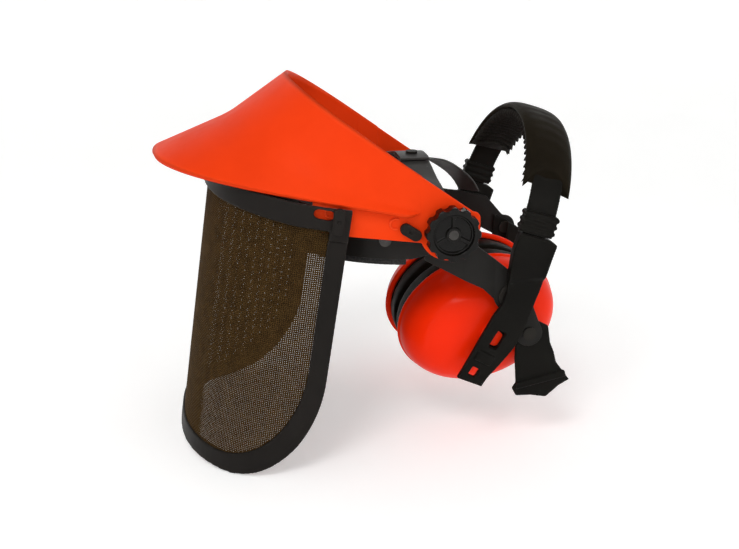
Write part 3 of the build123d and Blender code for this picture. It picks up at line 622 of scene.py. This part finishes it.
def swept_arch(name, section, start, hollow, steps):
    """Sweep a closed section along the arch; each end curves inwards by hollow degrees at the middle."""
    rings = []
    for k in range(steps + 1):
        progress = k / steps
        ring = []
        for across, rise in section(progress):
            edge = min(abs(across) / COVER_HALF, 1.0)
            first = start + hollow * (1 - edge * edge) ** 0.8
            point, outward = arch_frame(math.radians(first + (180 - 2 * first) * progress))
            spot = point + outward * rise
            ring.append((spot[0], across, spot[1]))
        rings.append(ring)
    return swept(name, lean(np.array(rings)))


def cover_section(progress):
    """Crowned outside, rolled welded edges and a flat underside."""
    distance = min(progress, 1 - progress)
    pinch = 1 - 0.35 * math.exp(-distance / 0.012)
    half = 15.4
    top = []
    for k in range(25):
        v = -1 + 2 * k / 24
        ripple = 0.10 * math.sin(progress * 95 + 2.0 * v) * (1 - v * v)
        crown = 1.4 + (3.3 + ripple) * (1 - abs(v) ** 3.2) ** 0.62
        top.append((v * half, -0.9 + crown * pinch))
    welt = [(15.9, 0.3), (16.1, -0.3), (16.0, -1.1), (15.4, -1.7)]
    under = [(13.0, -2.3), (6.5, -2.5), (0.0, -2.55), (-6.5, -2.5), (-13.0, -2.3)]
    return top + welt + under + [(-a, b) for a, b in welt[::-1]]


def pad_section(progress):
    """Foam pad with cross ribs that show as teeth along both edges."""
    ribs = 30
    wave = 0.5 + 0.5 * math.cos(progress * ribs * 2 * math.pi)
    depth = -5.0 - 2.9 * wave ** 0.6
    half = 14.2 + 0.9 * wave
    edge = [(half * 0.6, depth - 0.1), (half - 1.2, depth + 0.3), (half + 0.2, depth * 0.7), (half, -2.7)]
    return [(-a, b) for a, b in edge[::-1]] + [(0.0, depth - 0.1)] + edge


cover = swept_arch("band_cover_padded", cover_section, 20.5, 10.5, 180)
place_piece(cover, "muff_band", "vinyl", VINYL, "muff_band_cover")
pad = swept_arch("band_pad_ribbed", pad_section, 22.5, 9.5, 480)
place_piece(pad, "muff_band", "soft_pad", PAD, "muff_band_pad")


def inflate(obj, pressure, cap, frames=20):
    """Blow the piece up as cloth, hold every point within the cap, and keep the result."""
    start = np.array([v.co for v in obj.data.vertices])
    cloth = obj.modifiers.new("cloth", "CLOTH")
    cloth.settings.use_pressure = True
    cloth.settings.uniform_pressure_force = pressure
    cloth.settings.effector_weights.gravity = 0
    cloth.settings.tension_stiffness = 30
    cloth.settings.compression_stiffness = 30
    cloth.settings.bending_stiffness = 2
    for frame_number in range(1, frames + 1):
        bpy.context.scene.frame_set(frame_number)
    apply_modifiers(obj)
    bpy.context.scene.frame_set(1)
    moved = np.array([v.co for v in obj.data.vertices]) - start
    length = np.linalg.norm(moved, axis=1, keepdims=True)
    moved *= np.minimum(1, cap * MM / np.maximum(length, 1e-9))
    obj.data.vertices.foreach_set("co", (start + moved).astype(np.float32).ravel())
    obj.data.update()


def ear_cushion(side):
    """Oval ring cushion: a slack vinyl skin over foam, held inside its CAD space."""
    node = "cup_cushion_" + side
    obj = remeshed_copy(node, node + "_stuffed", 3.0, 3)
    low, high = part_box(node)
    inflate(obj, 4.0, 2.6)
    points = np.array([v.co for v in obj.data.vertices])
    points = np.clip(points, np.array(low) - 0.0002, np.array(high) + 0.0002)
    obj.data.vertices.foreach_set("co", points.astype(np.float32).ravel())
    rounder = obj.modifiers.new("rounder", "SUBSURF")
    rounder.levels = rounder.render_levels = 1
    apply_modifiers(obj)
    place_piece(obj, frame["nodes"][node]["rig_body"], "cushion_vinyl", CUSHION, node)


ear_cushion("left")
ear_cushion("right")


# ---- materials of the CAD nodes that stay ---------------------------------------------
KEPT = {"visor_clamp_strip": BLACK, "visor_rivets": BLACK, "crown_stud": BLACK}
for side in ("_left", "_right"):
    KEPT.update({"headband_stud" + side: DULL_STEEL, "pivot_bolt" + side: DULL_STEEL,
                 "friction_washer" + side: RUBBER, "spring_washer" + side: STEEL,
                 "swing_stud" + side: BLACK, "swing_washer" + side: BLACK,
                 "nape_rivet" + side: BLACK, "cup_peg" + side: CUP_RED, "cup_foam" + side: FOAM})
for node, material in KEPT.items():
    slots = frame["nodes"][node].material_slots
    for slot in slots:
        slot.material = material


# ---- floor, light and camera ----------------------------------------------------------
FLOOR_RADIUS, FLOOR_BEND, WALL_HEIGHT = 1500.0, 500.0, 2200.0
CAMERA_PLACE = (0.6446, -0.1325, 0.1648)
CAMERA_AIM = Vector((0, -0.037, -0.0555))


def stage_floor():
    """Round pale floor that curves up into a wall all the way round."""
    low = cad_bounds[0][2] / MM - 0.4
    profile = [(200.0, low)]
    for t in np.linspace(0, math.pi / 2, 13):
        profile.append((FLOOR_RADIUS + FLOOR_BEND * math.sin(t), low + FLOOR_BEND * (1 - math.cos(t))))
    profile.append((FLOOR_RADIUS + FLOOR_BEND, low + WALL_HEIGHT))
    around = 72
    turns = [2 * math.pi * k / around for k in range(around)]
    points = [(r * math.cos(t), r * math.sin(t), z) for r, z in profile for t in turns]
    faces = ring_faces(len(profile), around) + [tuple(range(around))]
    floor = new_object("floor", points, faces)
    weld(floor)
    shade_smooth(floor)
    material, nodes, links, shader, place = new_material("floor_white")
    cloud = noise_node(nodes, links, place, 3.0, 2.0)
    links.new(colour_ramp(nodes, links, cloud, [(0.3, (0.90, 0.90, 0.895)), (0.7, (0.92, 0.92, 0.915))]),
              shader.inputs["Base Color"])
    shader.inputs["Roughness"].default_value = 0.85
    shader.inputs["Specular IOR Level"].default_value = 0.2
    shader.inputs["Emission Color"].default_value = (1.0, 1.0, 1.0, 1)
    shader.inputs["Emission Strength"].default_value = 0.28
    floor.data.materials.append(material)


def area_light(name, place, aim, size, watts, tint=(1, 1, 1)):
    data = bpy.data.lights.new(name, "AREA")
    data.shape = "RECTANGLE"
    data.size, data.size_y = size
    data.energy = watts
    data.color = tint
    obj = bpy.data.objects.new(name, data)
    bpy.context.scene.collection.objects.link(obj)
    obj.location = place
    obj.rotation_euler = (Vector(aim) - Vector(place)).to_track_quat("-Z", "Y").to_euler()


stage_floor()
area_light("key", (0.9, -0.55, 1.1), (0, -0.03, 0), (0.5, 0.5), 7.5)
area_light("fill", (1.1, 0.8, 0.5), (0, 0, -0.03), (0.9, 0.9), 1.5)
area_light("top", (0.0, 0.0, 1.5), (0, 0, 0), (1.4, 1.4), 2.5)
world = bpy.data.worlds.new("studio")
world.use_nodes = True
world.node_tree.nodes["Background"].inputs["Color"].default_value = (1.0, 1.0, 1.0, 1)
world.node_tree.nodes["Background"].inputs["Strength"].default_value = 0.2
bpy.context.scene.world = world
bpy.context.scene.view_settings.view_transform = "Standard"

camera_data = bpy.data.cameras.new("camera")
camera_data.lens = 47.3
camera_data.sensor_width = 36.0
camera = bpy.data.objects.new("camera", camera_data)
bpy.context.scene.collection.objects.link(camera)
camera.location = CAMERA_PLACE
camera.rotation_euler = (CAMERA_AIM - camera.location).to_track_quat("-Z", "Y").to_euler()
bpy.context.scene.camera = camera
